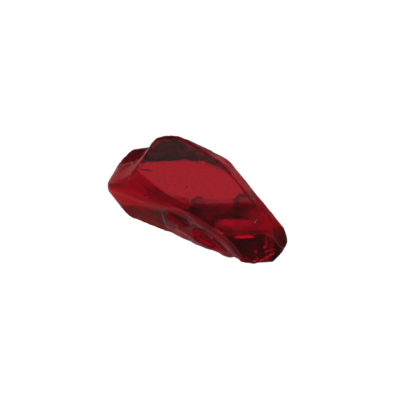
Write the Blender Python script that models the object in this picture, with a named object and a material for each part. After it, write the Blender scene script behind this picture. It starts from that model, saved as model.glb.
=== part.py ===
"""Rough spinel: one broken crystal, 12 mm long, lying on the flat growth face of its back.

+X runs along the stone from its blunt left tip to its dark wedge end, +Y runs across it, and
+Z is up. The origin is under the middle of the stone's box, on the plane that it rests on.

The crystal is a block cut by planes. Each plane is a Facet: it holds a level line that lies
`reach` from the crystal's axis in the direction `azimuth`, at the height `level`, and its
outward normal points that way, `lift` degrees above (or, if negative, below) the horizon.
"""

import math
from collections import namedtuple

import bmesh
import bpy
from mathutils import Euler, Matrix, Vector

# ---- Driving dimensions, in millimetres and degrees ----

MM = 0.001                      # one millimetre in Blender's metres
BLANK_SIZE = 30.0               # the cube that every block is cut from
BOX_CENTRE = (0.371, 0.216, 0.0)  # middle of the stone's box, measured from the crystal's axis
TOP_LEVEL = 4.45                # height of the main face over the rest face
EDGE_WEAR = 0.12                # width of the worn strip along each edge
EDGE_SEGMENTS = 2
MERGE_DISTANCE = 0.002          # corners closer than this become one
CUT_TOLERANCE = 0.00001

Facet = namedtuple("Facet", "name azimuth reach level lift")

# Faces seen from above: the main face, those that slope away from it, and the frosted flank.
FRONT_FACETS = (
    Facet("main_face", 90.0, 0.0, TOP_LEVEL, 90.0),
    Facet("left_wedge", -103.9, 0.98, TOP_LEVEL, 65.0),
    Facet("wedge_bend", -89.4, 0.50, TOP_LEVEL, 69.0),
    Facet("lower_face", -63.2, 0.17, TOP_LEVEL, 79.0),
    Facet("end_face", -62.2, 2.11, 4.07, 62.0),
    Facet("frosted_flank", -89.3, 1.01, 4.25, 49.2),
    Facet("flank_left", -93.7, 1.39, 4.08, 46.4),
)

# Narrow bevels between the main face and the outline, and the outline's blunt corners.
RIM_FACETS = (
    Facet("rim_top", 115.0, 4.12, 4.34, 45.0),
    Facet("rim_upper_right", 82.1, 3.17, 4.12, 45.0),
    Facet("rim_right", 64.0, 3.15, 4.05, 48.0),
    Facet("rim_right_end", 27.5, 5.68, 3.40, 18.0),
    Facet("rim_right_tip", -5.3, 6.42, 3.20, 15.0),
    Facet("rim_left", 174.3, 5.49, 3.20, 10.0),
    Facet("rim_left_low", -116.5, 4.12, 2.60, 12.0),
    Facet("rim_low", -87.6, 2.65, 2.60, 5.0),
    Facet("corner_top_left", 140.0, 4.66, 4.00, 0.0),
    Facet("corner_tip_left", 205.0, 5.72, 3.20, 0.0),
    Facet("corner_upper_right", 77.5, 3.24, 3.60, 0.0),
    Facet("corner_right_end", 45.0, 4.60, 3.80, 0.0),
    Facet("corner_tip_low", -34.0, 6.05, 3.00, 0.0),
    Facet("corner_end_low", -75.0, 3.69, 3.00, 0.0),
)

# Faces of the back, from the outline down to the rest face.
BACK_FACETS = (
    Facet("rest_face", 90.0, 0.0, 0.0, -90.0),
    Facet("back_top", 117.0, 2.60, 0.0, -20.0),
    Facet("wall_upper_right", 91.0, 2.82, 0.0, -6.0),
    Facet("wall_right", 64.0, 2.98, 0.0, -3.0),
    Facet("foot_upper_right", 91.0, 2.45, 0.0, -42.0),
    Facet("foot_right", 75.0, 2.52, 0.0, -42.0),
    Facet("back_right_end", 27.5, 5.68, 3.40, -20.0),
    Facet("back_right_tip", -5.3, 6.42, 3.20, -30.0),
    Facet("back_end", -61.6, 4.25, 2.80, -20.0),
    Facet("back_lower", -64.0, -0.02, 0.0, -56.0),
    Facet("back_low", -81.0, 0.10, 0.0, -44.5),
    Facet("back_left_low", -116.5, 4.12, 2.60, -28.0),
    Facet("back_left", 174.3, 4.43, 0.0, -20.0),
    Facet("back_lobe", 150.0, 3.93, 0.0, -19.5),
)

# The step at the upper left: a riser, and the sloping tread that it stands on.
STEP_RISER = Facet("step_riser", 169.0, 4.44, TOP_LEVEL, -4.0)
STEP_TREAD = Facet("step_tread", 165.7, 4.70, 3.80, 45.0)
NOTCH_SIDE = Facet("notch_side", 161.0, 4.55, TOP_LEVEL, 0.0)
NOTCH_FLOOR = Facet("notch_floor", 123.0, 3.79, TOP_LEVEL, 0.0)

# A level-floored recess between the step's riser and the frosted part of its tread.
RECESS_BACK = Facet("recess_back", 169.0, 4.47, TOP_LEVEL, -2.0)
RECESS_FLOOR = Facet("recess_floor", 150.0, 4.40, 3.10, 84.0)
RECESS_SIDE = Facet("recess_side", -82.5, -0.96, 3.50, 40.0)

# Shell-shaped hollows in the frosted flank.
Hollow = namedtuple("Hollow", "name centre half_sizes turn")
HOLLOWS = (
    Hollow("flank_hollow_left", (-0.55, -1.52, 3.85), (1.00, 0.62, 0.40), (42.0, 0.0, -6.0)),
    Hollow("flank_hollow_right", (1.82, -2.00, 3.42), (1.40, 0.55, 0.42), (42.0, 0.0, -14.0)),
)

# Growth steps in the sloping back: each is a level terrace behind a steep riser.
Terrace = namedtuple("Terrace", "name riser ceiling near_end far_end")
TERRACES = (
    Terrace(
        "wide_terrace",
        Facet("riser", -65.0, 0.95, 0.0, 0.0),
        Facet("ceiling", -65.0, 0.95, 1.00, 84.0),
        Facet("near_end", -150.0, -0.66, 0.0, 30.0),
        Facet("far_end", 20.0, 3.23, 0.0, -30.0),
    ),
    Terrace(
        "narrow_terrace",
        Facet("riser", -65.0, 1.60, 0.0, 0.0),
        Facet("ceiling", -65.0, 1.60, 1.36, 84.0),
        Facet("near_end", 137.1, -2.28, 0.0, 10.0),
        Facet("far_end", 83.4, 0.64, 0.0, 10.0),
    ),
)

SPINEL_COLOUR = (0.35, 0.014, 0.023, 1.0)
SPINEL_ROUGHNESS = 0.12
SPINEL_IOR = 1.718


# ---- Helpers ----

def facet_plane(facet):
    """A point on the facet's plane and the plane's outward normal, in millimetres."""
    azimuth = math.radians(facet.azimuth)
    lift = math.radians(facet.lift)
    outward = Vector((math.cos(azimuth), math.sin(azimuth), 0.0))
    point = outward * facet.reach + Vector((0.0, 0.0, facet.level))
    normal = outward * math.cos(lift) + Vector((0.0, 0.0, math.sin(lift)))
    return point, normal


def flipped(facet):
    """The same plane with its outward side turned round."""
    point, normal = facet_plane(facet)
    return point, -normal


def cut_block(planes):
    """A cube cut down to the space behind all the given planes."""
    bm = bmesh.new()
    bmesh.ops.create_cube(bm, size=BLANK_SIZE)
    for point, normal in planes:
        geometry = bm.verts[:] + bm.edges[:] + bm.faces[:]
        bmesh.ops.bisect_plane(
            bm, geom=geometry, dist=CUT_TOLERANCE, plane_co=point, plane_no=normal, clear_outer=True
        )
        rim = [edge for edge in bm.edges if edge.is_boundary]
        if rim:
            bmesh.ops.edgenet_fill(bm, edges=rim)
    bmesh.ops.remove_doubles(bm, verts=bm.verts[:], dist=MERGE_DISTANCE)
    bmesh.ops.recalc_face_normals(bm, faces=bm.faces[:])
    return bm


def make_object(name, bm, collection):
    """A mesh object in metres from a bmesh in millimetres."""
    bmesh.ops.translate(bm, vec=-Vector(BOX_CENTRE), verts=bm.verts[:])
    bmesh.ops.scale(bm, vec=(MM, MM, MM), verts=bm.verts[:])
    mesh = bpy.data.meshes.new(name)
    bm.to_mesh(mesh)
    bm.free()
    piece = bpy.data.objects.new(name, mesh)
    collection.objects.link(piece)
    return piece


def make_collection(name):
    collection = bpy.data.collections.new(name)
    bpy.context.scene.collection.children.link(collection)
    return collection


def mark_as_cutter(piece):
    piece.hide_render = True
    piece.display_type = "WIRE"


def cut_with(crystal, cutter):
    """Take the cutter's shape out of the crystal."""
    mark_as_cutter(cutter)
    boolean = crystal.modifiers.new(cutter.name, "BOOLEAN")
    boolean.operation = "DIFFERENCE"
    boolean.solver = "EXACT"
    boolean.object = cutter


def spinel_material():
    material = bpy.data.materials.new("spinel")
    material.use_nodes = True
    shader = material.node_tree.nodes["Principled BSDF"]
    shader.inputs["Base Color"].default_value = SPINEL_COLOUR
    shader.inputs["Roughness"].default_value = SPINEL_ROUGHNESS
    shader.inputs["Metallic"].default_value = 0.0
    shader.inputs["IOR"].default_value = SPINEL_IOR
    shader.inputs["Transmission Weight"].default_value = 1.0
    return material


# ---- The stone ----

def crystal_block(collection):
    """The plane-cut crystal, with a worn strip along each edge."""
    facets = FRONT_FACETS + RIM_FACETS + BACK_FACETS
    bm = cut_block([facet_plane(facet) for facet in facets])
    bmesh.ops.bevel(
        bm, geom=bm.edges[:], offset=EDGE_WEAR, offset_type="WIDTH", segments=EDGE_SEGMENTS,
        profile=0.5, affect="EDGES", clamp_overlap=True, material=-1
    )
    return make_object("spinel_crystal", bm, collection)


def step_cutter(collection):
    """Frees the low step at the upper left, down to its sloping tread."""
    bm = cut_block([flipped(STEP_RISER), flipped(STEP_TREAD)])
    return make_object("step_cutter", bm, collection)


def recess_cutter(collection):
    """Deepens the upper part of the step, down to a nearly level floor."""
    bm = cut_block([flipped(RECESS_BACK), flipped(RECESS_FLOOR), facet_plane(RECESS_SIDE)])
    return make_object("recess_cutter", bm, collection)


def notch_cutter(collection):
    """Takes the corner beside the step right through, which leaves a notch in the outline."""
    bm = cut_block([flipped(NOTCH_SIDE), flipped(NOTCH_FLOOR)])
    return make_object("notch_cutter", bm, collection)


def hollow_cutter(hollow, collection):
    """An ellipsoid that leaves one shell-shaped hollow."""
    bm = bmesh.new()
    bmesh.ops.create_uvsphere(bm, u_segments=24, v_segments=12, radius=1.0)
    turn = Euler([math.radians(angle) for angle in hollow.turn]).to_matrix().to_4x4()
    place = Matrix.Translation(hollow.centre) @ turn @ Matrix.Diagonal((*hollow.half_sizes, 1.0))
    bmesh.ops.transform(bm, matrix=place, verts=bm.verts[:])
    return make_object(hollow.name, bm, collection)


def terrace_cutter(terrace, collection):
    """Cuts one growth step into the sloping back, up to its level ceiling."""
    bm = cut_block([
        flipped(terrace.riser),
        facet_plane(terrace.ceiling),
        facet_plane(terrace.near_end),
        facet_plane(terrace.far_end),
    ])
    return make_object(terrace.name, bm, collection)


def build():
    for old in list(bpy.data.objects):
        bpy.data.objects.remove(old, do_unlink=True)
    stone = make_collection("rough_spinel")
    cutters = make_collection("rough_spinel_cutters")
    crystal = crystal_block(stone)
    crystal.data.materials.append(spinel_material())
    cut_with(crystal, step_cutter(cutters))
    cut_with(crystal, recess_cutter(cutters))
    cut_with(crystal, notch_cutter(cutters))
    for hollow in HOLLOWS:
        cut_with(crystal, hollow_cutter(hollow, cutters))
    for terrace in TERRACES:
        cut_with(crystal, terrace_cutter(terrace, cutters))


build()
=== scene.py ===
"""The looks of one rough spinel: a see-through red crystal that lies on its flat back.

Sizes in the tables below are in millimetres. A place on the stone is given on its plan, as
(along, across): the plan is seen from above, `along` runs PLAN_TURN degrees round from +X, and
`across` runs at a right angle to it.
"""

import math
from collections import namedtuple

import bmesh
import bpy
import numpy as np
from bpy.props import FloatProperty, FloatVectorProperty, IntProperty, PointerProperty
from bpy.types import Operator, Panel, PropertyGroup
from mathutils import Euler, Matrix, Vector, noise
from mathutils.bvhtree import BVHTree


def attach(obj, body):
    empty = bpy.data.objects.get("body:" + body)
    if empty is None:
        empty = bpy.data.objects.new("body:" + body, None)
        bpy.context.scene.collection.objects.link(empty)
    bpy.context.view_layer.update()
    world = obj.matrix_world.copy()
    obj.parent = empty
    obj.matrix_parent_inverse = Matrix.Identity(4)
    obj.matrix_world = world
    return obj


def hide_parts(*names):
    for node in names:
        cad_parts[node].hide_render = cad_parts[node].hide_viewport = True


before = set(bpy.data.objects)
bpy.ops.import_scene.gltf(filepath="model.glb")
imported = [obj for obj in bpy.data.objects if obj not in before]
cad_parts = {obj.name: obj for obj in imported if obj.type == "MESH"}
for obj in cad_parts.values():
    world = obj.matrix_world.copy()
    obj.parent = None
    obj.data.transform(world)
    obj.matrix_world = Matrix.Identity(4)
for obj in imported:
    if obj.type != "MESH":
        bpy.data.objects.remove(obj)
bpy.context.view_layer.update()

bl_info = {
    "name": "Rough spinel",
    "version": (1, 0, 0),
    "blender": (4, 5, 0),
    "location": "3D View > Sidebar > Spinel",
    "description": "Builds one rough red crystal, what is sealed in it, and a small light table",
    "category": "Add Mesh",
}

CAD_NODE = "spinel_crystal"
BODY = "root"

MM = 0.001
PLAN_TURN = 25.0
PLAN_ORIGIN = (-0.371, -0.216)   # the plan's origin in the row frame
MERGE_GAP = 0.00001               # corners closer than this, in metres, are one

# ---- The skin ----
# Each patch and each crest is laid over those before it. `softness` is how far a patch fades to
# either side of its outline, `frost` is how etched the skin is, the next value is painted shade: how
# much the skin darkens the light that comes through, put where the light's paths through the stone
# leave it dark, and `heading` is the way that its streaks run, in degrees round from `along`.

Patch = namedtuple("Patch", "name outline softness frost stain heading")
Crest = namedtuple("Crest", "name points half_width height frost stain")
Dent = namedtuple("Dent", "name points half_width height")

# Headings, named for the parts that the streaks run along or across.
ALONG_FLANK = -32.0
ALONG_TOP = -25.0
ALONG_END = -5.0
ALONG_LOBE = 46.0
ALONG_RIGHT = -52.0
ACROSS_FLANK = -60.0

# The front's patches: their darkening is painted shade, for the dark that the light's paths through the stone
# give.
FRONT_PATCHES = (
    Patch(
        "flank",
        ((-5.79, 0.89), (-3.94, 0.19), (-2.67, -0.32), (-1.34, -0.70), (-0.32, -1.34), (0.70, -2.10),
         (1.59, -2.80), (2.35, -3.94), (1.15, -3.63), (-1.08, -2.67), (-2.99, -1.91), (-4.90, -1.08),
         (-5.98, 0.32)),
        softness=0.10, frost=0.70, stain=0.30, heading=ALONG_FLANK,
    ),
    Patch(
        "flank_tip",
        ((-5.92, 0.83), (-4.77, 0.64), (-3.63, 0.25), (-2.86, -0.13), (-3.24, -0.38), (-4.14, -0.32),
         (-4.90, -0.13), (-5.79, 0.25)),
        softness=0.20, frost=0.90, stain=0.00, heading=ALONG_TOP,
    ),
    Patch(
        "flank_shade",
        ((-4.90, -0.38), (-4.01, -0.32), (-2.99, -0.57), (-2.10, -0.70), (-1.72, -1.40), (-1.46, -2.16),
         (-2.99, -1.85), (-4.77, -1.08)),
        softness=0.20, frost=0.95, stain=0.66, heading=ALONG_FLANK,
    ),
    Patch(
        "left_hollow",
        ((-1.85, -0.64), (-1.34, -0.51), (-0.76, -0.76), (-0.32, -1.21), (-0.38, -1.72), (-0.95, -1.72),
         (-1.53, -1.27)),
        softness=0.14, frost=0.15, stain=0.40, heading=ALONG_FLANK,
    ),
    Patch(
        "hollow_shade",
        ((-1.97, -0.57), (-1.21, -0.64), (-0.76, -1.21), (-1.02, -1.65), (-1.72, -1.15)),
        softness=0.12, frost=0.30, stain=0.62, heading=ALONG_FLANK,
    ),
    Patch(
        "streak_zone",
        ((-2.35, -0.64), (-1.72, -0.57), (-1.34, -1.27), (-0.83, -1.91), (-1.59, -2.04), (-2.16, -1.40)),
        softness=0.10, frost=0.60, stain=0.62, heading=ACROSS_FLANK,
    ),
    Patch(
        "right_hollow",
        ((0.00, -2.04), (0.57, -1.97), (1.34, -2.42), (1.97, -2.93), (1.91, -3.24), (1.08, -2.99),
         (0.38, -2.61)),
        softness=0.12, frost=0.20, stain=0.35, heading=ALONG_FLANK,
    ),
    Patch(
        "hollow_light",
        ((-0.41, -1.97), (0.00, -1.88), (0.25, -2.10), (0.10, -2.35), (-0.25, -2.29)),
        softness=0.10, frost=0.60, stain=0.00, heading=ACROSS_FLANK,
    ),
    Patch(
        "pale_patch",
        ((-0.83, -2.23), (-0.45, -2.16), (-0.19, -2.42), (-0.25, -2.67), (-0.70, -2.61)),
        softness=0.12, frost=0.60, stain=0.00, heading=ACROSS_FLANK,
    ),
    Patch(
        "low_lip",
        ((-0.45, -2.29), (0.06, -2.45), (0.70, -2.61), (1.21, -2.86), (1.59, -3.12), (2.04, -3.31),
         (2.42, -3.56), (2.35, -3.94), (0.51, -3.31), (-0.45, -2.86)),
        softness=0.10, frost=0.55, stain=0.05, heading=ALONG_FLANK,
    ),
    Patch(
        "wedge",
        ((-5.66, 0.89), (-4.64, 1.40), (-3.82, 1.72), (-3.05, 1.21), (-2.35, 0.70), (-1.34, 0.06),
         (-0.64, -0.38), (-1.85, -0.19), (-2.99, 0.13), (-4.39, 0.70)),
        softness=0.20, frost=0.00, stain=0.36, heading=ALONG_FLANK,
    ),
    Patch(
        "wedge_end",
        ((-3.24, 0.76), (-2.48, 0.64), (-1.34, 0.06), (-0.45, -0.51), (-1.72, -0.25), (-2.99, 0.13)),
        softness=0.24, frost=0.00, stain=0.68, heading=ALONG_FLANK,
    ),
    Patch(
        "wedge_tip",
        ((-5.79, 0.89), (-5.15, 1.08), (-4.64, 1.21), (-4.39, 1.02), (-4.71, 0.64), (-5.54, 0.64)),
        softness=0.12, frost=0.85, stain=0.14, heading=ALONG_TOP,
    ),
    Patch(
        "tip_frost",
        ((-5.66, 0.95), (-5.34, 1.11), (-4.90, 1.30), (-4.39, 1.56), (-4.07, 1.94), (-3.82, 2.13),
         (-3.63, 2.16), (-3.75, 1.72), (-4.01, 1.40), (-4.39, 1.21), (-4.90, 1.09), (-5.34, 1.00)),
        softness=0.14, frost=0.80, stain=0.00, heading=ALONG_LOBE,
    ),
    Patch(
        "window_corner",
        ((-1.46, 0.25), (-0.70, 0.19), (-0.51, 0.00), (-0.45, -0.25), (-0.89, -0.25)),
        softness=0.12, frost=0.45, stain=0.00, heading=ALONG_FLANK,
    ),
    Patch(
        "lower_face",
        ((-0.32, -0.38), (3.75, -0.25), (5.54, -1.72), (1.85, -2.10), (0.70, -1.40)),
        softness=0.15, frost=0.20, stain=0.00, heading=ALONG_END,
    ),
    Patch(
        "lower_face_top",
        ((-0.57, -0.22), (3.75, -0.16), (3.88, -0.38), (-0.32, -0.45)),
        softness=0.08, frost=0.20, stain=0.30, heading=ALONG_END,
    ),
    Patch(
        "dark_corner",
        ((-1.72, 0.00), (-1.02, -0.13), (-0.45, -0.32), (0.32, -0.76), (1.08, -1.40), (1.85, -2.10),
         (1.65, -2.42), (0.57, -1.65), (-0.45, -0.89), (-1.46, -0.38)),
        softness=0.16, frost=0.10, stain=0.08, heading=ALONG_FLANK,
    ),
    Patch(
        "end_shade",
        ((1.72, -1.91), (3.37, -1.94), (4.77, -1.88), (5.03, -2.10), (3.37, -2.18), (1.97, -2.16)),
        softness=0.08, frost=0.20, stain=0.42, heading=ALONG_END,
    ),
    Patch(
        "corner_shade",
        ((-1.53, 0.00), (-1.21, -0.06), (-0.83, -0.19), (-0.48, -0.32), (-0.41, -0.48), (-0.60, -0.54),
         (-1.08, -0.51), (-1.46, -0.32)),
        softness=0.10, frost=0.10, stain=0.68, heading=ALONG_FLANK,
    ),
    Patch(
        "lobe_top",
        ((-5.28, 2.04), (-4.64, 2.74), (-4.14, 3.24), (-3.63, 3.44), (-3.05, 3.44), (-3.56, 2.74),
         (-4.07, 2.74), (-4.58, 2.48), (-4.96, 2.04)),
        softness=0.12, frost=0.55, stain=0.62, heading=ALONG_LOBE,
    ),
    Patch(
        "lobe_recess",
        ((-4.33, 2.74), (-3.88, 2.93), (-3.37, 3.05), (-3.63, 2.48), (-3.94, 2.23), (-4.26, 2.48)),
        softness=0.10, frost=0.90, stain=0.40, heading=ALONG_LOBE,
    ),
    Patch(
        "lobe_frost",
        ((-5.73, 1.02), (-5.47, 1.46), (-4.90, 2.23), (-4.52, 2.55), (-4.14, 2.35), (-3.82, 2.16),
         (-4.14, 1.72), (-4.64, 1.34), (-5.41, 1.02)),
        softness=0.12, frost=0.62, stain=0.00, heading=ALONG_LOBE,
    ),
    Patch(
        "lobe_left",
        ((-5.09, 2.16), (-4.71, 2.74), (-4.26, 3.12), (-4.01, 2.99), (-4.39, 2.67), (-4.90, 2.10)),
        softness=0.12, frost=0.55, stain=0.70, heading=ALONG_LOBE,
    ),
    Patch(
        "lobe_peak",
        ((-5.09, 2.16), (-4.87, 2.48), (-4.58, 2.58), (-4.33, 2.61), (-4.20, 2.45), (-4.20, 2.23),
         (-4.64, 2.16)),
        softness=0.08, frost=0.75, stain=0.22, heading=ALONG_LOBE,
    ),
    Patch(
        "lobe_dim",
        ((-5.03, 1.78), (-4.90, 2.10), (-4.58, 2.42), (-4.33, 2.29), (-4.64, 1.97), (-4.90, 1.72)),
        softness=0.12, frost=0.80, stain=0.22, heading=ALONG_LOBE,
    ),
    Patch(
        "top_edge",
        ((-2.99, 3.82), (-2.35, 4.26), (-1.21, 4.26), (-0.06, 3.82), (-0.32, 3.69), (-1.34, 3.94),
         (-2.23, 3.94)),
        softness=0.06, frost=0.00, stain=0.48, heading=ALONG_TOP,
    ),
    Patch(
        "top_shade",
        ((-2.86, 3.44), (-2.48, 4.01), (-1.21, 4.01), (-0.57, 3.75), (-1.34, 3.66), (-2.10, 3.59),
         (-2.61, 3.24)),
        softness=0.08, frost=0.00, stain=0.45, heading=ALONG_TOP,
    ),
    Patch(
        "top_rim",
        ((-1.21, 4.20), (-0.06, 3.75), (0.95, 3.24), (1.72, 2.74), (1.27, 2.67), (0.19, 3.31), (-0.95, 3.82)),
        softness=0.08, frost=0.55, stain=0.60, heading=ALONG_TOP,
    ),
    Patch(
        "right_rim",
        ((1.21, 2.93), (1.85, 2.74), (2.35, 2.29), (3.12, 1.27), (3.88, 0.25), (3.50, 0.25), (2.74, 1.08),
         (1.97, 1.91), (1.34, 2.55)),
        softness=0.10, frost=0.60, stain=0.00, heading=ALONG_RIGHT,
    ),
    Patch(
        "right_rim_low",
        ((3.50, 0.64), (4.52, -0.51), (5.79, -1.91), (6.04, -2.93), (5.54, -2.93), (4.39, -1.02),
         (3.37, 0.19)),
        softness=0.08, frost=0.95, stain=0.04, heading=ALONG_RIGHT,
    ),
    Patch(
        "rim_end",
        ((4.71, -1.85), (5.28, -1.75), (5.79, -1.85), (6.11, -2.35), (6.04, -3.12), (5.34, -2.99),
         (4.84, -2.42)),
        softness=0.14, frost=1.00, stain=0.45, heading=ALONG_RIGHT,
    ),
)

# The front's crests: their darkening is painted shade too, such as the painted shadow along the rib.
FRONT_CRESTS = (
    Crest(
        "rib",
        ((-5.41, 0.70), (-4.77, 0.45), (-3.94, 0.13), (-3.18, -0.13), (-2.48, -0.32), (-1.85, -0.45),
         (-1.27, -0.64), (-0.76, -0.89), (-0.22, -1.18), (0.32, -1.53), (0.83, -1.91), (1.27, -2.23),
         (1.69, -2.55), (2.13, -2.93), (2.48, -3.37), (2.74, -3.88)),
        half_width=0.25, height=0.05, frost=0.85, stain=0.00,
    ),
    Crest(
        "rib_shadow",
        ((-2.99, 0.41), (-2.48, 0.24), (-1.97, 0.04), (-1.34, -0.24), (-0.70, -0.54)),
        half_width=0.18, height=0.00, frost=0.05, stain=0.58,
    ),
    Crest(
        "rib_foot",
        ((2.04, -2.86), (2.35, -3.18), (2.55, -3.56)),
        half_width=0.16, height=0.00, frost=0.70, stain=0.40,
    ),
    Crest(
        "lobe_line",
        ((-5.73, 0.92), (-5.34, 0.94), (-4.84, 0.94)),
        half_width=0.13, height=0.00, frost=0.70, stain=0.42,
    ),
    Crest(
        "corner_rim",
        ((-3.15, 3.24), (-2.93, 3.59), (-2.61, 3.94), (-2.29, 4.12), (-1.34, 4.14)),
        half_width=0.14, height=0.00, frost=0.55, stain=0.55,
    ),
    Crest(
        "notch_ridge",
        ((-3.09, 3.34), (-3.50, 2.86), (-3.84, 2.29), (-4.20, 1.78)),
        half_width=0.07, height=0.015, frost=0.60, stain=0.40,
    ),
    Crest(
        "rim_inner",
        ((-0.83, 3.79), (0.19, 3.21), (1.46, 2.48), (2.04, 1.81), (2.74, 0.92), (3.50, 0.00)),
        half_width=0.10, height=0.00, frost=0.45, stain=0.28,
    ),
    Crest(
        "rim_spot",
        ((1.72, 2.16), (2.10, 1.72)),
        half_width=0.16, height=0.00, frost=0.45, stain=0.55,
    ),
    Crest(
        "rim_spot_low",
        ((3.31, 0.45), (3.63, 0.06)),
        half_width=0.14, height=0.00, frost=0.50, stain=0.30,
    ),
    Crest(
        "notch_strip",
        ((-2.86, 3.18), (-3.18, 2.67), (-3.56, 2.04), (-3.82, 1.72)),
        half_width=0.16, height=0.00, frost=0.10, stain=0.10,
    ),
    Crest(
        "band_foot",
        ((-3.05, 2.41), (-1.97, 2.48), (-0.57, 2.49), (0.19, 2.43)),
        half_width=0.07, height=0.00, frost=0.00, stain=0.40,
    ),
    Crest(
        "band_end",
        ((0.57, 2.32), (1.08, 2.18), (1.65, 1.91)),
        half_width=0.12, height=0.00, frost=0.00, stain=0.32,
    ),
    Crest(
        "lower_ridge",
        ((-1.21, -1.85), (-0.64, -2.16), (-0.13, -2.55), (0.51, -2.80), (1.15, -3.05), (1.78, -3.31)),
        half_width=0.16, height=0.05, frost=0.58, stain=0.20,
    ),
    Crest(
        "lip_line",
        ((-0.06, -2.39), (0.45, -2.65), (1.02, -2.93)),
        half_width=0.18, height=0.00, frost=0.55, stain=0.58,
    ),
    Crest(
        "hollow_end",
        ((1.08, -2.51), (1.53, -2.90), (1.85, -3.18)),
        half_width=0.12, height=0.00, frost=0.90, stain=0.50,
    ),
    Crest(
        "pale_streak_left",
        ((-1.91, -0.76), (-2.13, -1.02), (-1.99, -1.40), (-1.85, -1.78)),
        half_width=0.09, height=0.04, frost=0.35, stain=0.60,
    ),
    Crest(
        "pale_streak_right",
        ((-1.85, -0.83), (-1.65, -1.15), (-1.40, -1.46), (-1.08, -1.85)),
        half_width=0.08, height=0.04, frost=0.35, stain=0.60,
    ),
)

# The back's patches: their darkening is painted shade, such as the painted shadow of the lens over the band.
BACK_PATCHES = (
    Patch(
        "left_back",
        ((-6.17, 1.27), (-5.66, 1.78), (-4.77, 2.04), (-4.14, 1.78), (-3.94, 0.64), (-2.35, -0.38),
         (-1.85, -0.89), (-0.70, -1.91), (-1.34, -2.86), (-3.63, -1.91), (-5.85, -0.32)),
        softness=0.20, frost=1.00, stain=0.00, heading=ALONG_FLANK,
    ),
    Patch(
        "lobe_back",
        ((-5.41, 2.04), (-4.64, 3.18), (-3.63, 3.82), (-3.63, 2.55), (-4.64, 1.78)),
        softness=0.14, frost=0.15, stain=0.20, heading=ALONG_LOBE,
    ),
    Patch(
        "top_back",
        ((-3.24, 3.18), (-2.35, 4.45), (2.48, 3.18), (2.10, 1.78), (0.19, 2.55), (-3.24, 2.35)),
        softness=0.14, frost=0.16, stain=0.00, heading=ALONG_TOP,
    ),
    Patch(
        "top_back_right",
        ((-0.06, 3.44), (1.85, 2.80), (2.61, 1.78), (1.59, 1.85), (0.06, 2.42)),
        softness=0.20, frost=0.45, stain=0.00, heading=ALONG_TOP,
    ),
    Patch(
        "top_patch",
        ((-0.70, 3.69), (-0.45, 3.75), (-0.13, 3.37), (-0.25, 3.18), (-0.51, 3.31)),
        softness=0.18, frost=0.62, stain=0.00, heading=ACROSS_FLANK,
    ),
    Patch(
        "slope_start",
        ((-2.23, 0.57), (-1.46, 0.32), (-0.45, 0.03), (-0.19, -0.03), (-0.45, -0.22), (-0.83, -0.22),
         (-1.59, 0.00)),
        softness=0.06, frost=1.00, stain=0.00, heading=ALONG_TOP,
    ),
    Patch(
        "slope",
        ((-0.25, 0.06), (3.75, 0.06), (5.34, -1.02), (5.60, -1.65), (1.97, -1.97), (0.95, -1.59),
         (0.06, -0.89), (-0.57, -0.32)),
        softness=0.12, frost=0.30, stain=0.38, heading=ALONG_END,
    ),
    Patch(
        "right_slope",
        ((3.63, 0.06), (4.26, -0.32), (5.47, -1.40), (5.47, -1.65), (3.69, -1.65)),
        softness=0.14, frost=0.55, stain=0.05, heading=ALONG_END,
    ),
    Patch(
        "band",
        ((1.34, -0.95), (2.74, -0.95), (2.99, -1.21), (2.48, -1.34), (1.59, -1.34)),
        softness=0.10, frost=0.15, stain=0.25, heading=ALONG_END,
    ),
    Patch(
        "under_band",
        ((0.95, -1.34), (3.75, -1.34), (3.75, -1.78), (1.59, -1.78)),
        softness=0.14, frost=0.60, stain=0.34, heading=ALONG_END,
    ),
    Patch(
        "gap",
        ((2.29, -1.08), (3.50, -1.08), (3.50, -1.72), (2.42, -1.72)),
        softness=0.12, frost=0.95, stain=0.20, heading=ALONG_END,
    ),
    Patch(
        "band_left",
        ((0.57, -0.76), (1.46, -0.76), (1.65, -1.53), (0.83, -1.53)),
        softness=0.22, frost=0.25, stain=0.58, heading=ALONG_END,
    ),
    Patch(
        "band_right",
        ((2.74, -0.83), (3.75, -0.83), (3.75, -1.40), (2.93, -1.40)),
        softness=0.20, frost=0.45, stain=0.30, heading=ALONG_END,
    ),
    Patch(
        "band_seam",
        ((3.37, -0.13), (4.01, -0.13), (4.14, -1.85), (3.44, -1.85)),
        softness=0.20, frost=0.85, stain=0.28, heading=ALONG_END,
    ),
    Patch(
        "lens",
        ((1.08, -0.73), (1.46, -0.60), (2.48, -0.59), (2.93, -0.73), (2.55, -0.91), (1.53, -0.93)),
        softness=0.06, frost=0.20, stain=0.64, heading=ALONG_END,
    ),
    Patch(
        "dark_end",
        ((1.85, -1.85), (3.75, -1.65), (5.79, -1.53), (6.04, -2.55), (4.77, -4.20), (2.48, -3.94),
         (1.59, -2.80)),
        softness=0.16, frost=0.20, stain=0.08, heading=ALONG_END,
    ),
    Patch(
        "dark_end_right",
        ((4.14, -1.78), (6.04, -1.91), (6.04, -2.67), (4.90, -3.94), (4.14, -2.93)),
        softness=0.25, frost=0.05, stain=0.35, heading=ALONG_END,
    ),
    Patch(
        "right_end",
        ((4.14, -0.64), (5.03, -0.76), (6.04, -1.65), (6.04, -1.97), (5.15, -1.97), (4.26, -1.65)),
        softness=0.20, frost=0.75, stain=0.12, heading=ALONG_END,
    ),
    Patch(
        "left_peak",
        ((-0.48, -0.19), (-0.25, 0.03), (0.02, 0.22), (0.25, 0.13), (0.64, -0.06), (0.64, -0.19)),
        softness=0.06, frost=0.20, stain=0.60, heading=ALONG_END,
    ),
    Patch(
        "right_peak",
        ((2.35, -0.19), (2.61, 0.13), (2.80, 0.38), (3.15, 0.19), (3.88, 0.00), (3.88, -0.19)),
        softness=0.06, frost=0.20, stain=0.52, heading=ALONG_END,
    ),
)

# The back's crests: painted shade along the outlines of the two peaks.
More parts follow.
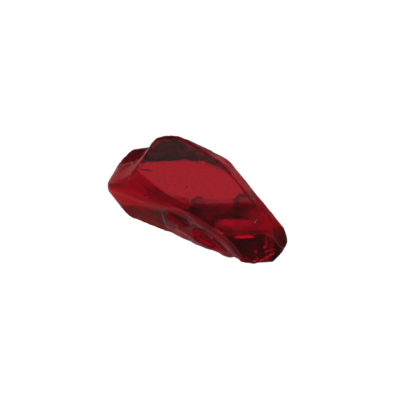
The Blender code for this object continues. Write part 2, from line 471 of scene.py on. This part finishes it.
BACK_CRESTS = (
    Crest(
        "left_peak_line",
        ((-0.31, -0.10), (-0.17, 0.05), (0.02, 0.18), (0.25, 0.13)),
        half_width=0.10, height=0.00, frost=0.10, stain=0.78,
    ),
    Crest(
        "right_peak_line",
        ((2.39, -0.05), (2.61, 0.13), (2.80, 0.36), (2.99, 0.25)),
        half_width=0.11, height=0.00, frost=0.10, stain=0.80,
    ),
)

# Shallow dents and swellings of the outline, which both sides of the skin share.
OUTLINE_DENTS = (
    Dent("edge_dent", ((2.39, -3.72), (2.64, -3.88)), half_width=0.34, height=-0.11),
    Dent("edge_step", ((-1.72, -2.10), (-1.21, -2.29)), half_width=0.34, height=-0.04),
    Dent("low_swell", ((-0.06, -2.80), (0.57, -3.09)), half_width=0.45, height=0.05),
    Dent("flank_trim", ((-3.82, -1.21), (-2.99, -1.53), (-1.59, -2.10)), half_width=0.35, height=-0.05),
    Dent("foot_swell", ((1.65, -3.53), (2.10, -3.66)), half_width=0.30, height=0.05),
    Dent("end_swell", ((2.80, -3.94), (3.69, -4.01)), half_width=0.25, height=0.05),
    Dent("shoulder_trim", ((1.08, 2.99), (1.59, 2.74), (1.91, 2.42)), half_width=0.30, height=-0.05),
    Dent("top_trim", ((-1.34, 4.14), (-0.83, 3.94)), half_width=0.30, height=-0.03),
    Dent("corner_trim", ((-2.35, 4.14), (-2.26, 4.16)), half_width=0.25, height=-0.05),
    Dent("corner_swell", ((-2.86, 3.56), (-2.61, 3.85)), half_width=0.25, height=0.05),
    Dent("lobe_trim", ((-4.90, 2.55), (-4.64, 2.86)), half_width=0.25, height=-0.05),
    Dent("lobe_swell", ((-4.33, 3.12), (-4.07, 3.31)), half_width=0.25, height=0.04),
)

WEAR_STRENGTH = 0.5     # how far one round of smoothing moves a corner towards its neighbours
FACING_BLEND = 0.1      # rise of a normal over which the back's finish turns into the front's
CREST_CORE = 0.5        # a crest's finish is full up to this share of its half width
CREST_FADE = 1.2        # and gone at this one
MOST_PAINTED_SHADE = 0.95       # no part of the skin is darker
PAINTED_SHADE_CURVE = 2         # how steeply clearness falls as the painted shade deepens
STREAK_LENGTH = 1.1     # streaks, grit and swells of the skin
STREAK_WIDTH = 0.16
STREAK_DEPTH = 0.22     # how much streaks change the frost and the painted shade
GRIT_CELL = 0.16
GRIT_HEIGHT = 0.006
SWELL_CELL = 0.8
SWELL_HEIGHT = 0.008
NOISE_GAIN = 2.0        # brings the noise to about -1 to 1
CLOUD_RANGE = (0.3, 0.7)  # noise that gives the darkest cloud, and clear stone
CLOUD_DETAIL = 4.0
PIT_DETAIL = 3.0
PIT_STRENGTH = 0.5

# ---- What is sealed in the stone ----
# A place is a plan position. Flakes and rods have their heights over the table, and grains lie at
# or under the stone's top. A flake leans by its dip, in degrees, and is then turned to its heading.

Flake = namedtuple("Flake", "name place height half_sizes heading dip")
Rod = namedtuple("Rod", "name start end heights radius")

VEILS = (
    Flake("arc_near", (4.56, -3.17), 3.02, (0.26, 0.10, 0.04), 20.0, 66.0),
    Flake("arc_far", (4.86, -3.08), 3.05, (0.24, 0.09, 0.04), -12.0, 66.0),
    Flake("blob_wide", (4.77, -3.36), 2.88, (0.22, 0.18, 0.05), 42.0, 52.0),
    Flake("blob_low", (4.45, -3.58), 2.83, (0.16, 0.18, 0.05), 24.0, 58.0),
    Flake("blob_left", (4.17, -3.73), 2.82, (0.24, 0.14, 0.05), 26.0, 58.0),
    Flake("blob_far_left", (3.87, -3.64), 2.80, (0.10, 0.18, 0.05), 70.0, 56.0),
    Flake("blob_dim", (3.75, -3.17), 2.86, (0.11, 0.12, 0.04), 30.0, 50.0),
    Flake("column_foot", (4.36, -2.83), 2.96, (0.16, 0.20, 0.04), 30.0, 52.0),
    Flake("column_mid", (4.38, -2.51), 3.00, (0.11, 0.20, 0.04), 20.0, 32.0),
    Flake("column_top", (4.36, -2.24), 3.05, (0.09, 0.18, 0.04), -15.0, 30.0),
    Flake("hollow_spark", (-0.13, -2.14), 3.05, (0.18, 0.13, 0.04), 60.0, 52.0),
    Flake("recess_spark", (-3.84, 2.55), 3.15, (0.06, 0.05, 0.03), 60.0, 40.0),
)
NEEDLES = (Rod("pale_needle", (3.63, -1.50), (3.80, -1.23), (4.19, 4.24), 0.03),)
CRACKS = (Rod("left_crack", (-3.64, 1.94), (-2.83, 1.88), (3.60, 3.70), 0.05),)
DARK_GRAINS = (
    (-2.44, 1.25), (-2.47, 0.73), (-3.24, 0.43), (-2.04, 1.16), (-0.67, 0.41), (-0.65, 0.82), (-1.36, 0.91),
    (1.72, 1.34), (-4.63, 0.93), (-4.90, 0.91), (0.89, 0.25), (-2.86, 0.06), (-1.97, -0.06), (1.34, -0.76),
)
PALE_GRAINS = ((3.08, 0.79), (3.59, 0.04), (-4.23, 1.91), (-4.30, 1.36))

BALL_DETAIL = 2                       # rounds of subdivision of the balls that lumps start from
LUMP_DEPTH = 0.5                      # how uneven a lump is, as a share of its size
LUMP_SCALE = 1.3
GRAIN_HALF_SIZE = 0.054
GRAIN_SHAPE = (1.0, 0.8, 0.6)
GRAIN_TURN = (1.0, 2.0, 3.0)          # radians that each dark grain is turned past the last one
GRAIN_GROWTH = (0.7, 0.95, 1.2)       # the sizes that the dark grains take in turn
GRAIN_DEPTHS = (0.12, 0.52, 0.92, 1.32)  # and how deep they lie under the stone's top
PALE_GRAIN_HALF_SIZES = (0.04, 0.03, 0.03)
ABOVE_STONE = 10.0                    # height that the stone's top is looked for from

# Each pair of colours is the darkest and the palest of a mineral's cells. A cell scale is how many
# cells there are to a metre.
VEIL_COLOURS = ((1.0, 0.50, 0.60), (1.0, 0.75, 0.80))
VEIL_CELLS = 9000.0
CRACK_COLOURS = ((0.35, 0.02, 0.03), (0.55, 0.05, 0.06))
CRACK_CLEARNESS = 0.8
DARK_COLOURS = ((0.015, 0.006, 0.006), (0.05, 0.02, 0.02))
PALE_COLOURS = ((0.55, 0.45, 0.42), (0.85, 0.8, 0.78))
MINERAL_CELLS = 12000.0
MINERAL_ROUGHNESS = 0.7


# ---- Sizes and colours that a user may change ----

class SpinelCrystalSettings(PropertyGroup):
    grain: FloatProperty(
        name="Grain", description="Size of the cells that the surface is made of",
        default=0.000055, min=0.00003, max=0.0002, unit="LENGTH", precision=5,
    )
    wear: IntProperty(
        name="Wear", description="How many rounds of smoothing wear the edges", default=20, min=0, max=80,
    )
    polish: FloatProperty(
        name="Polish", description="Roughness of the glassy growth faces", default=0.02, min=0.0, max=1.0,
        subtype="FACTOR",
    )
    frost: FloatProperty(
        name="Frost", description="Roughness of the etched parts", default=1.0, min=0.0, max=1.0,
        subtype="FACTOR",
    )
    pit_scale: FloatProperty(
        name="Pit scale", description="How many etch pits there are to a metre", default=7000.0, min=0.0,
    )
    pit_depth: FloatProperty(
        name="Pit depth", description="Depth of the etch pits", default=0.000025, min=0.0, unit="LENGTH",
        precision=5,
    )
    cloud_scale: FloatProperty(
        name="Cloud scale", description="How many faint clouds there are to a metre", default=6000.0, min=0.0,
    )
    cloud_depth: FloatProperty(
        name="Cloud depth", description="How dark the faint clouds are", default=0.2, min=0.0, max=1.0,
        subtype="FACTOR",
    )
    refraction: FloatProperty(
        name="Refraction", description="Index of refraction of spinel", default=1.718, min=1.0, max=3.0,
    )
    veil_sheen: FloatProperty(
        name="Veil sheen", description="Roughness of the healed cracks' mirroring films", default=0.25,
        min=0.0, max=1.0, subtype="FACTOR",
    )
    tint: FloatVectorProperty(
        name="Tint", description="What the body lets through, for its density", subtype="COLOR",
        default=(0.946, 0.12, 0.9425), min=0.0, max=1.0,
    )
    # Where the skin has painted shade, this colour is darkened towards black.
    blush: FloatVectorProperty(
        name="Blush", description="What the skin lets through where it is not stained", subtype="COLOR",
        default=(1.0, 0.01, 0.03), min=0.0, max=1.0,
    )
    density: FloatProperty(
        name="Density", description="How strongly the tint takes light away, per metre",
        default=4000.0, min=0.0,
    )


class SpinelStageSettings(PropertyGroup):
    pad_glow: FloatProperty(
        name="Pad glow", description="Brightness of the light table under the stone", default=1.0, min=0.0,
    )
    edge_glow: FloatProperty(
        name="Edge glow", description="Brightness of the light table's outer part", default=0.35, min=0.0,
    )
    wall_glow: FloatProperty(
        name="Wall glow", description="Brightness of the low pale wall round the table", default=0.3, min=0.0,
    )
    room_glow: FloatProperty(
        name="Room glow", description="Brightness of the room above the wall", default=0.06, min=0.0,
    )
    lamp_glow: FloatProperty(
        name="Lamp glow", description="Brightness of the soft lamp overhead", default=0.17, min=0.0,
    )
    camera_height: FloatProperty(
        name="Camera height", description="Height of the camera over the table", default=0.15, min=0.02,
        unit="LENGTH",
    )


# ---- Helpers ----

def on_plan(along, across, height=0.0):
    """A plan position as a point in the row frame, all in millimetres."""
    turn = math.radians(PLAN_TURN)
    x = PLAN_ORIGIN[0] + along * math.cos(turn) - across * math.sin(turn)
    y = PLAN_ORIGIN[1] + along * math.sin(turn) + across * math.cos(turn)
    return Vector((x, y, height))


def plan_of(points):
    """The plan positions of an array of row-frame points, in millimetres."""
    turn = math.radians(PLAN_TURN)
    x = points[:, 0] - PLAN_ORIGIN[0]
    y = points[:, 1] - PLAN_ORIGIN[1]
    return np.stack(
        (x * math.cos(turn) + y * math.sin(turn), y * math.cos(turn) - x * math.sin(turn)), axis=1
    )


def line_gap(points, corners):
    """How far each plan point is from a bent line."""
    gap = np.full(len(points), np.inf)
    corners = np.array(corners)
    for start, end in zip(corners[:-1], corners[1:]):
        run = end - start
        share = np.clip((points - start) @ run / (run @ run), 0.0, 1.0)
        gap = np.minimum(gap, np.linalg.norm(points - start - share[:, None] * run, axis=1))
    return gap


def region_depth(points, outline):
    """How deep inside an outline each plan point lies; below zero outside it."""
    corners = np.array(outline)
    following = np.roll(corners, -1, axis=0)
    inside = np.zeros(len(points), bool)
    for (x0, y0), (x1, y1) in zip(corners, following):
        spans = (y0 > points[:, 1]) != (y1 > points[:, 1])
        rise = y1 - y0 if y1 != y0 else 1.0
        inside ^= spans & (points[:, 0] < x0 + (points[:, 1] - y0) * (x1 - x0) / rise)
    gap = line_gap(points, np.vstack((corners, corners[:1])))
    return np.where(inside, gap, -gap)


def eased(value, low, high):
    """0 below low, 1 above high, and a smooth rise between them."""
    share = np.clip((value - low) / (high - low), 0.0, 1.0)
    return share * share * (3.0 - 2.0 * share)


def new_piece(name, mesh):
    piece = bpy.data.objects.new(name, mesh)
    bpy.context.scene.collection.objects.link(piece)
    return piece


def mesh_from(bm, name):
    """A mesh in metres from a bmesh in millimetres."""
    bmesh.ops.scale(bm, vec=(MM, MM, MM), verts=bm.verts[:])
    mesh = bpy.data.meshes.new(name)
    bm.to_mesh(mesh)
    bm.free()
    return mesh


def node_input(node, name, value):
    node.inputs[name].default_value = value


def new_material(name):
    """A material with its tree and its Principled shader."""
    material = bpy.data.materials.new(name)
    material.use_nodes = True
    tree = material.node_tree
    return material, tree, tree.nodes["Principled BSDF"]


def settings():
    return bpy.context.scene.spinel_crystal_settings


# ---- The crystal ----

def fine_skin(grain, wear):
    """The CAD solid's shape as an even, worn skin of fine cells, in millimetres."""
    bm = bmesh.new()
    bm.from_mesh(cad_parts[CAD_NODE].data)
    bmesh.ops.remove_doubles(bm, verts=bm.verts[:], dist=MERGE_GAP)
    bmesh.ops.scale(bm, vec=(1 / MM, 1 / MM, 1 / MM), verts=bm.verts[:])
    coarse = bpy.data.meshes.new("coarse_skin")
    bm.to_mesh(coarse)
    bm.free()
    blank = new_piece("skin_blank", coarse)
    remesh = blank.modifiers.new("grain", "REMESH")
    remesh.mode = "VOXEL"
    remesh.voxel_size = grain / MM
    smooth = blank.modifiers.new("wear", "SMOOTH")
    smooth.iterations = wear
    smooth.factor = WEAR_STRENGTH
    shaped = blank.evaluated_get(bpy.context.evaluated_depsgraph_get())
    mesh = bpy.data.meshes.new_from_object(shaped)
    bpy.data.objects.remove(blank)
    return mesh


def vertex_arrays(mesh):
    """The places and normals of a mesh's vertices."""
    places = np.empty(len(mesh.vertices) * 3)
    mesh.vertices.foreach_get("co", places)
    normals = np.empty(len(mesh.vertices) * 3, np.float32)
    mesh.vertex_normals.foreach_get("vector", normals)
    return places.reshape(-1, 3), normals.reshape(-1, 3).astype(float)


def streaks(plan, heading):
    """Long, thin noise along a heading, from about -1 to 1."""
    turn = math.radians(heading)
    length = (plan[:, 0] * math.cos(turn) + plan[:, 1] * math.sin(turn)) / STREAK_LENGTH
    width = (plan[:, 1] * math.cos(turn) - plan[:, 0] * math.sin(turn)) / STREAK_WIDTH
    return np.array([noise.noise((u, v, heading)) for u, v in zip(length, width)]) * NOISE_GAIN


def grit(places, cell):
    """Fine noise all over the stone, from about -1 to 1."""
    return np.array([noise.noise(place) for place in places / cell]) * NOISE_GAIN


def finish_of(plan, facing, patches, crests):
    """How frosted one side of the skin is, and how much painted shade it has, from 0 to 1 at each vertex."""
    frost = np.zeros(len(plan))
    stain = np.zeros(len(plan))
    fields = {heading: streaks(plan, heading) for heading in {patch.heading for patch in patches}}
    for patch in patches:
        cover = eased(region_depth(plan, patch.outline), -patch.softness, patch.softness) * facing
        streak = fields[patch.heading]
        frost += cover * (patch.frost * (1.0 + STREAK_DEPTH * streak) - frost)
        stain += cover * (patch.stain * (1.0 - STREAK_DEPTH * streak) - stain)
    for crest in crests:
        gap = line_gap(plan, crest.points) / crest.half_width
        cover = (1.0 - eased(gap, CREST_CORE, CREST_FADE)) * facing
        frost += cover * (crest.frost - frost)
        stain += cover * (crest.stain - stain)
    return np.clip(frost, 0.0, 1.0), np.clip(stain, 0.0, MOST_PAINTED_SHADE)


def relief(plan, facing, crests):
    """How far crests or dents lift one side of the skin."""
    lift = np.zeros(len(plan))
    for crest in crests:
        lift += crest.height * (1.0 - eased(line_gap(plan, crest.points), 0.0, crest.half_width)) * facing
    return lift


def spinel_material(chosen):
    """Clear red spinel: glassy growth faces, etched parts, and painted shade on the skin."""
    material, tree, shader = new_material("spinel")
    node_input(shader, "IOR", chosen.refraction)
    node_input(shader, "Transmission Weight", 1.0)
    clear = tree.nodes.new("ShaderNodeAttribute")
    clear.attribute_name = "clear"
    place = tree.nodes.new("ShaderNodeTexCoord")
    cloud = tree.nodes.new("ShaderNodeTexNoise")
    node_input(cloud, "Scale", chosen.cloud_scale)
    node_input(cloud, "Detail", CLOUD_DETAIL)
    tree.links.new(place.outputs["Object"], cloud.inputs["Vector"])
    haze = tree.nodes.new("ShaderNodeMapRange")
    node_input(haze, "From Min", CLOUD_RANGE[0])
    node_input(haze, "From Max", CLOUD_RANGE[1])
    node_input(haze, "To Min", 1.0 - chosen.cloud_depth)
    node_input(haze, "To Max", 1.0)
    tree.links.new(cloud.outputs["Fac"], haze.inputs["Value"])
    # The base colour is the blush, darkened by the painted shade of the clear attribute and by the faint
    # clouds.
    dimmed = tree.nodes.new("ShaderNodeMath")
    dimmed.operation = "MULTIPLY"
    tree.links.new(clear.outputs["Fac"], dimmed.inputs[0])
    tree.links.new(haze.outputs["Result"], dimmed.inputs[1])
    blush = tree.nodes.new("ShaderNodeVectorMath")
    blush.operation = "SCALE"
    blush.inputs[0].default_value = chosen.blush
    tree.links.new(dimmed.outputs["Value"], blush.inputs["Scale"])
    tree.links.new(blush.outputs["Vector"], shader.inputs["Base Color"])
    frost = tree.nodes.new("ShaderNodeAttribute")
    frost.attribute_name = "frost"
    rough = tree.nodes.new("ShaderNodeMapRange")
    node_input(rough, "To Min", chosen.polish)
    node_input(rough, "To Max", chosen.frost)
    tree.links.new(frost.outputs["Fac"], rough.inputs["Value"])
    tree.links.new(rough.outputs["Result"], shader.inputs["Roughness"])
    pits = tree.nodes.new("ShaderNodeTexNoise")
    node_input(pits, "Scale", chosen.pit_scale)
    node_input(pits, "Detail", PIT_DETAIL)
    tree.links.new(place.outputs["Object"], pits.inputs["Vector"])
    depth = tree.nodes.new("ShaderNodeMath")
    depth.operation = "MULTIPLY"
    tree.links.new(pits.outputs["Fac"], depth.inputs[0])
    tree.links.new(frost.outputs["Fac"], depth.inputs[1])
    bump = tree.nodes.new("ShaderNodeBump")
    node_input(bump, "Strength", PIT_STRENGTH)
    node_input(bump, "Distance", chosen.pit_depth)
    tree.links.new(depth.outputs["Value"], bump.inputs["Height"])
    tree.links.new(bump.outputs["Normal"], shader.inputs["Normal"])
    body = tree.nodes.new("ShaderNodeVolumeAbsorption")
    node_input(body, "Color", (*chosen.tint, 1.0))
    node_input(body, "Density", chosen.density)
    tree.links.new(body.outputs["Volume"], tree.nodes["Material Output"].inputs["Volume"])
    return material


def build_crystal():
    chosen = settings()
    mesh = fine_skin(chosen.grain, chosen.wear)
    places, normals = vertex_arrays(mesh)
    plan = plan_of(places)
    front = eased(normals[:, 2], -FACING_BLEND, FACING_BLEND)
    back = 1.0 - front
    front_frost, front_painted_shade = finish_of(plan, front, FRONT_PATCHES, FRONT_CRESTS)
    back_frost, back_painted_shade = finish_of(plan, back, BACK_PATCHES, BACK_CRESTS)
    frost = front_frost + back_frost
    # The clear attribute is the share of light that the painted shade of both sides leaves.
    clear = (1.0 - front_painted_shade - back_painted_shade) ** PAINTED_SHADE_CURVE
    lift = relief(plan, front, FRONT_CRESTS) + relief(plan, back, BACK_CRESTS)
    lift += relief(plan, 1.0, OUTLINE_DENTS)
    lift += GRIT_HEIGHT * grit(places, GRIT_CELL) * frost + SWELL_HEIGHT * grit(places, SWELL_CELL)
    places += normals * lift[:, None]
    mesh.vertices.foreach_set("co", (places * MM).ravel())
    for name, values in (("frost", frost), ("clear", clear)):
        mesh.attributes.new(name, "FLOAT", "POINT").data.foreach_set("value", values.astype(np.float32))
    mesh.shade_smooth()
    mesh.update()
    mesh.materials.clear()
    mesh.materials.append(spinel_material(chosen))
    piece = new_piece("rough_spinel_crystal", mesh)
    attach(piece, BODY)
    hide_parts(CAD_NODE)


# ---- What is sealed in the stone: shapes and materials ----

def add_lump(bm, centre, half_sizes, turn, seed):
    """One uneven lump, from a ball that is squashed, bent out of shape and turned."""
    made = bmesh.ops.create_icosphere(bm, subdivisions=BALL_DETAIL, radius=1.0)
    for vert in made["verts"]:
        vert.co *= 1.0 + LUMP_DEPTH * noise.noise(vert.co * LUMP_SCALE + Vector((seed, 0.0, 0.0)))
    shape = Matrix.Translation(centre) @ turn.to_matrix().to_4x4() @ Matrix.Diagonal((*half_sizes, 1.0))
    bmesh.ops.transform(bm, matrix=shape, verts=made["verts"])


def add_rod(bm, rod):
    """A rod that tapers to both of its ends."""
    start = on_plan(*rod.start, rod.heights[0])
    end = on_plan(*rod.end, rod.heights[1])
    run = end - start
    made = bmesh.ops.create_icosphere(bm, subdivisions=BALL_DETAIL, radius=1.0)
    turn = Vector((0.0, 0.0, 1.0)).rotation_difference(run).to_matrix().to_4x4()
    size = Matrix.Diagonal((rod.radius, rod.radius, run.length / 2, 1.0))
    shape = Matrix.Translation((start + end) / 2) @ turn @ size
    bmesh.ops.transform(bm, matrix=shape, verts=made["verts"])


def sealed_piece(name, bm, material):
    piece = new_piece(name, mesh_from(bm, name))
    piece.data.shade_smooth()
    piece.data.materials.append(material)
    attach(piece, BODY)


def speckled(tree, shader, colours, scale):
    """Gives a shader a colour that varies between two from cell to cell."""
    place = tree.nodes.new("ShaderNodeTexCoord")
    cells = tree.nodes.new("ShaderNodeTexNoise")
    node_input(cells, "Scale", scale)
    tree.links.new(place.outputs["Object"], cells.inputs["Vector"])
    ramp = tree.nodes.new("ShaderNodeValToRGB")
    for element, colour in zip(ramp.color_ramp.elements, colours):
        element.color = (*colour, 1.0)
    tree.links.new(cells.outputs["Fac"], ramp.inputs["Fac"])
    tree.links.new(ramp.outputs["Color"], shader.inputs["Base Color"])


def veil_material(chosen):
    """A healed crack: a thin, uneven film that mirrors the light as a gap in the stone does."""
    material, tree, shader = new_material("healed_crack")
    speckled(tree, shader, VEIL_COLOURS, VEIL_CELLS)
    node_input(shader, "Roughness", chosen.veil_sheen)
    node_input(shader, "Metallic", 1.0)
    return material


def mineral_material(name, colours, clearness=0.0):
    """A dull mineral. Its clearness is the share of light that it lets through."""
    material, tree, shader = new_material(name)
    speckled(tree, shader, colours, MINERAL_CELLS)
    node_input(shader, "Roughness", MINERAL_ROUGHNESS)
    node_input(shader, "Transmission Weight", clearness)
    return material


def surface_finder():
    """Gives a function for the height of the plain solid's top over a plan position, in millimetres."""
    bm = bmesh.new()
    bm.from_mesh(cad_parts[CAD_NODE].data)
    tree = BVHTree.FromBMesh(bm)
    bm.free()

    def height_at(place):
        hit, _, _, _ = tree.ray_cast(on_plan(*place, ABOVE_STONE) * MM, Vector((0.0, 0.0, -1.0)))
        return hit.z / MM

    return height_at


def build_veils():
    bm = bmesh.new()
    for index, flake in enumerate(VEILS):
        turn = Euler((math.radians(flake.dip), 0.0, math.radians(flake.heading + PLAN_TURN)))
        add_lump(bm, on_plan(*flake.place, flake.height), flake.half_sizes, turn, index)
    sealed_piece("healed_cracks", bm, veil_material(settings()))


def build_cracks():
    bm = bmesh.new()
    for crack in CRACKS:
        add_rod(bm, crack)
    sealed_piece("dark_cracks", bm, mineral_material("dark_crack", CRACK_COLOURS, CRACK_CLEARNESS))


def build_grains():
    height_at = surface_finder()
    bm = bmesh.new()
    for index, place in enumerate(DARK_GRAINS):
        half = GRAIN_HALF_SIZE * GRAIN_GROWTH[index % len(GRAIN_GROWTH)]
        height = height_at(place) - GRAIN_DEPTHS[index % len(GRAIN_DEPTHS)]
        half_sizes = [half * share for share in GRAIN_SHAPE]
        turn = Euler([index * step for step in GRAIN_TURN])
        add_lump(bm, on_plan(*place, height), half_sizes, turn, index)
    sealed_piece("dark_grains", bm, mineral_material("dark_mineral", DARK_COLOURS))
    bm = bmesh.new()
    for index, place in enumerate(PALE_GRAINS):
        turn = Euler((0.0, 0.0, index))
        add_lump(bm, on_plan(*place, height_at(place)), PALE_GRAIN_HALF_SIZES, turn, index)
    for needle in NEEDLES:
        add_rod(bm, needle)
    sealed_piece("pale_grains", bm, mineral_material("pale_mineral", PALE_COLOURS))


# ---- The stage ----

STAGE_RADIUS = 450.0
STAGE_SEGMENTS = 96
STAGE_ROUGHNESS = 0.9
WALL_HEIGHT = 168.0
PAD_DROP = 0.02          # gap between the stone and the pad
PAD_COLOUR = (0.5, 0.5, 0.5, 1.0)
WALL_COLOUR = (0.2, 0.2, 0.2, 1.0)
WHITE = (1.0, 1.0, 1.0, 1.0)
BRIGHT_RADIUS = 19.0     # the pad is at its brightest out to here
DIM_RADIUS = 36.0        # and at its dimmest from here on
LAMP_HEIGHT = 600.0
LAMP_SIZE = 300.0
FACE_HEIGHT = 4.0        # height of the crystal's front that the frame's width is measured at
FRAME_WIDTH = 25.45
AIM = (0.19, 0.0)        # the plan position under the camera
SENSOR = 36.0
CLIP_RANGE = (10.0, 2000.0)
LIGHT_BOUNCES = 24       # a ray that is caught in the stone turns back many times
SURFACE_BOUNCES = 16


def glow_material(name, colour, glow):
    """A matt surface that glows. Returns the material and its shader."""
    material, _, shader = new_material(name)
    node_input(shader, "Base Color", colour)
    node_input(shader, "Roughness", STAGE_ROUGHNESS)
    node_input(shader, "Emission Color", WHITE)
    node_input(shader, "Emission Strength", glow)
    return material, shader


def pad_material(chosen):
    """The light table's sheet, full bright under the stone and dimmer further out."""
    material, shader = glow_material("pale_pad", PAD_COLOUR, chosen.pad_glow)
    tree = material.node_tree
    place = tree.nodes.new("ShaderNodeTexCoord")
    reach = tree.nodes.new("ShaderNodeVectorMath")
    reach.operation = "LENGTH"
    tree.links.new(place.outputs["Object"], reach.inputs[0])
    fade = tree.nodes.new("ShaderNodeMapRange")
    fade.interpolation_type = "SMOOTHSTEP"
    node_input(fade, "From Min", BRIGHT_RADIUS * MM)
    node_input(fade, "From Max", DIM_RADIUS * MM)
    node_input(fade, "To Min", chosen.pad_glow)
    node_input(fade, "To Max", chosen.edge_glow)
    tree.links.new(reach.outputs["Value"], fade.inputs["Value"])
    tree.links.new(fade.outputs["Result"], shader.inputs["Emission Strength"])
    return material


def build_stage():
    chosen = bpy.context.scene.spinel_stage_settings
    bm = bmesh.new()
    bmesh.ops.create_circle(bm, cap_ends=True, segments=STAGE_SEGMENTS, radius=STAGE_RADIUS)
    bmesh.ops.translate(bm, vec=(0.0, 0.0, -PAD_DROP), verts=bm.verts[:])
    pad = new_piece("light_table", mesh_from(bm, "light_table"))
    pad.data.materials.append(pad_material(chosen))
    bm = bmesh.new()
    bmesh.ops.create_cone(
        bm, cap_ends=False, segments=STAGE_SEGMENTS, radius1=STAGE_RADIUS, radius2=STAGE_RADIUS,
        depth=WALL_HEIGHT,
    )
    bmesh.ops.translate(bm, vec=(0.0, 0.0, WALL_HEIGHT / 2 - PAD_DROP), verts=bm.verts[:])
    bmesh.ops.reverse_faces(bm, faces=bm.faces[:])
    wall = new_piece("pale_wall", mesh_from(bm, "pale_wall"))
    wall.data.materials.append(glow_material("pale_wall", WALL_COLOUR, chosen.wall_glow)[0])

    lamp_data = bpy.data.lights.new("overhead_lamp", "AREA")
    lamp_data.shape = "DISK"
    lamp_data.size = LAMP_SIZE * MM
    disk_area = math.pi * (LAMP_SIZE * MM / 2) ** 2
    lamp_data.energy = chosen.lamp_glow * math.pi * disk_area
    lamp = new_piece("overhead_lamp", lamp_data)
    lamp.location = (0.0, 0.0, LAMP_HEIGHT * MM)

    world = bpy.data.worlds.new("dim_room")
    world.use_nodes = True
    backdrop = world.node_tree.nodes["Background"]
    node_input(backdrop, "Color", WHITE)
    node_input(backdrop, "Strength", chosen.room_glow)
    bpy.context.scene.world = world

    camera_data = bpy.data.cameras.new("camera")
    camera_data.sensor_width = SENSOR
    camera_data.lens = SENSOR * (chosen.camera_height / MM - FACE_HEIGHT) / FRAME_WIDTH
    camera_data.clip_start = CLIP_RANGE[0] * MM
    camera_data.clip_end = CLIP_RANGE[1] * MM
    camera = new_piece("camera", camera_data)
    camera.location = on_plan(*AIM, chosen.camera_height / MM) * MM
    camera.rotation_euler = (0.0, 0.0, math.radians(PLAN_TURN))

    scene = bpy.context.scene
    scene.camera = camera
    scene.view_settings.view_transform = "Standard"
    scene.cycles.max_bounces = LIGHT_BOUNCES
    scene.cycles.glossy_bounces = SURFACE_BOUNCES
    scene.cycles.transmission_bounces = SURFACE_BOUNCES


# ---- Operators and panel ----

class SPINEL_OT_crystal(Operator):
    """Build the crystal's fine skin over its plain solid"""

    bl_idname = "spinel.crystal"
    bl_label = "Crystal"

    def execute(self, context):
        build_crystal()
        return {"FINISHED"}


class SPINEL_OT_veils(Operator):
    """Seal the healed cracks in the stone"""

    bl_idname = "spinel.veils"
    bl_label = "Healed cracks"

    def execute(self, context):
        build_veils()
        return {"FINISHED"}


class SPINEL_OT_cracks(Operator):
    """Seal the short dark cracks in the stone"""

    bl_idname = "spinel.cracks"
    bl_label = "Dark cracks"

    def execute(self, context):
        build_cracks()
        return {"FINISHED"}


class SPINEL_OT_grains(Operator):
    """Seal the dark and the pale mineral grains in the stone"""

    bl_idname = "spinel.grains"
    bl_label = "Mineral grains"

    def execute(self, context):
        build_grains()
        return {"FINISHED"}


class SPINEL_OT_stage(Operator):
    """Set up the light table, the soft light and the camera"""

    bl_idname = "spinel.stage"
    bl_label = "Stage"

    def execute(self, context):
        build_stage()
        return {"FINISHED"}


class SPINEL_PT_panel(Panel):
    """Lists the steps that build the stone"""

    bl_idname = "SPINEL_PT_panel"
    bl_label = "Rough spinel"
    bl_space_type = "VIEW_3D"
    bl_region_type = "UI"
    bl_category = "Spinel"

    def draw(self, context):
        for operator in STEPS:
            self.layout.operator(operator.bl_idname)


STEPS = (SPINEL_OT_crystal, SPINEL_OT_veils, SPINEL_OT_cracks, SPINEL_OT_grains, SPINEL_OT_stage)
CLASSES = (SpinelCrystalSettings, SpinelStageSettings, *STEPS, SPINEL_PT_panel)


def register():
    for cls in CLASSES:
        bpy.utils.register_class(cls)
    bpy.types.Scene.spinel_crystal_settings = PointerProperty(type=SpinelCrystalSettings)
    bpy.types.Scene.spinel_stage_settings = PointerProperty(type=SpinelStageSettings)


def unregister():
    del bpy.types.Scene.spinel_stage_settings
    del bpy.types.Scene.spinel_crystal_settings
    for cls in reversed(CLASSES):
        bpy.utils.unregister_class(cls)


def main():
    register()
    bpy.ops.spinel.crystal()
    bpy.ops.spinel.veils()
    bpy.ops.spinel.cracks()
    bpy.ops.spinel.grains()
    bpy.ops.spinel.stage()


if __name__ == "__main__":
    main()
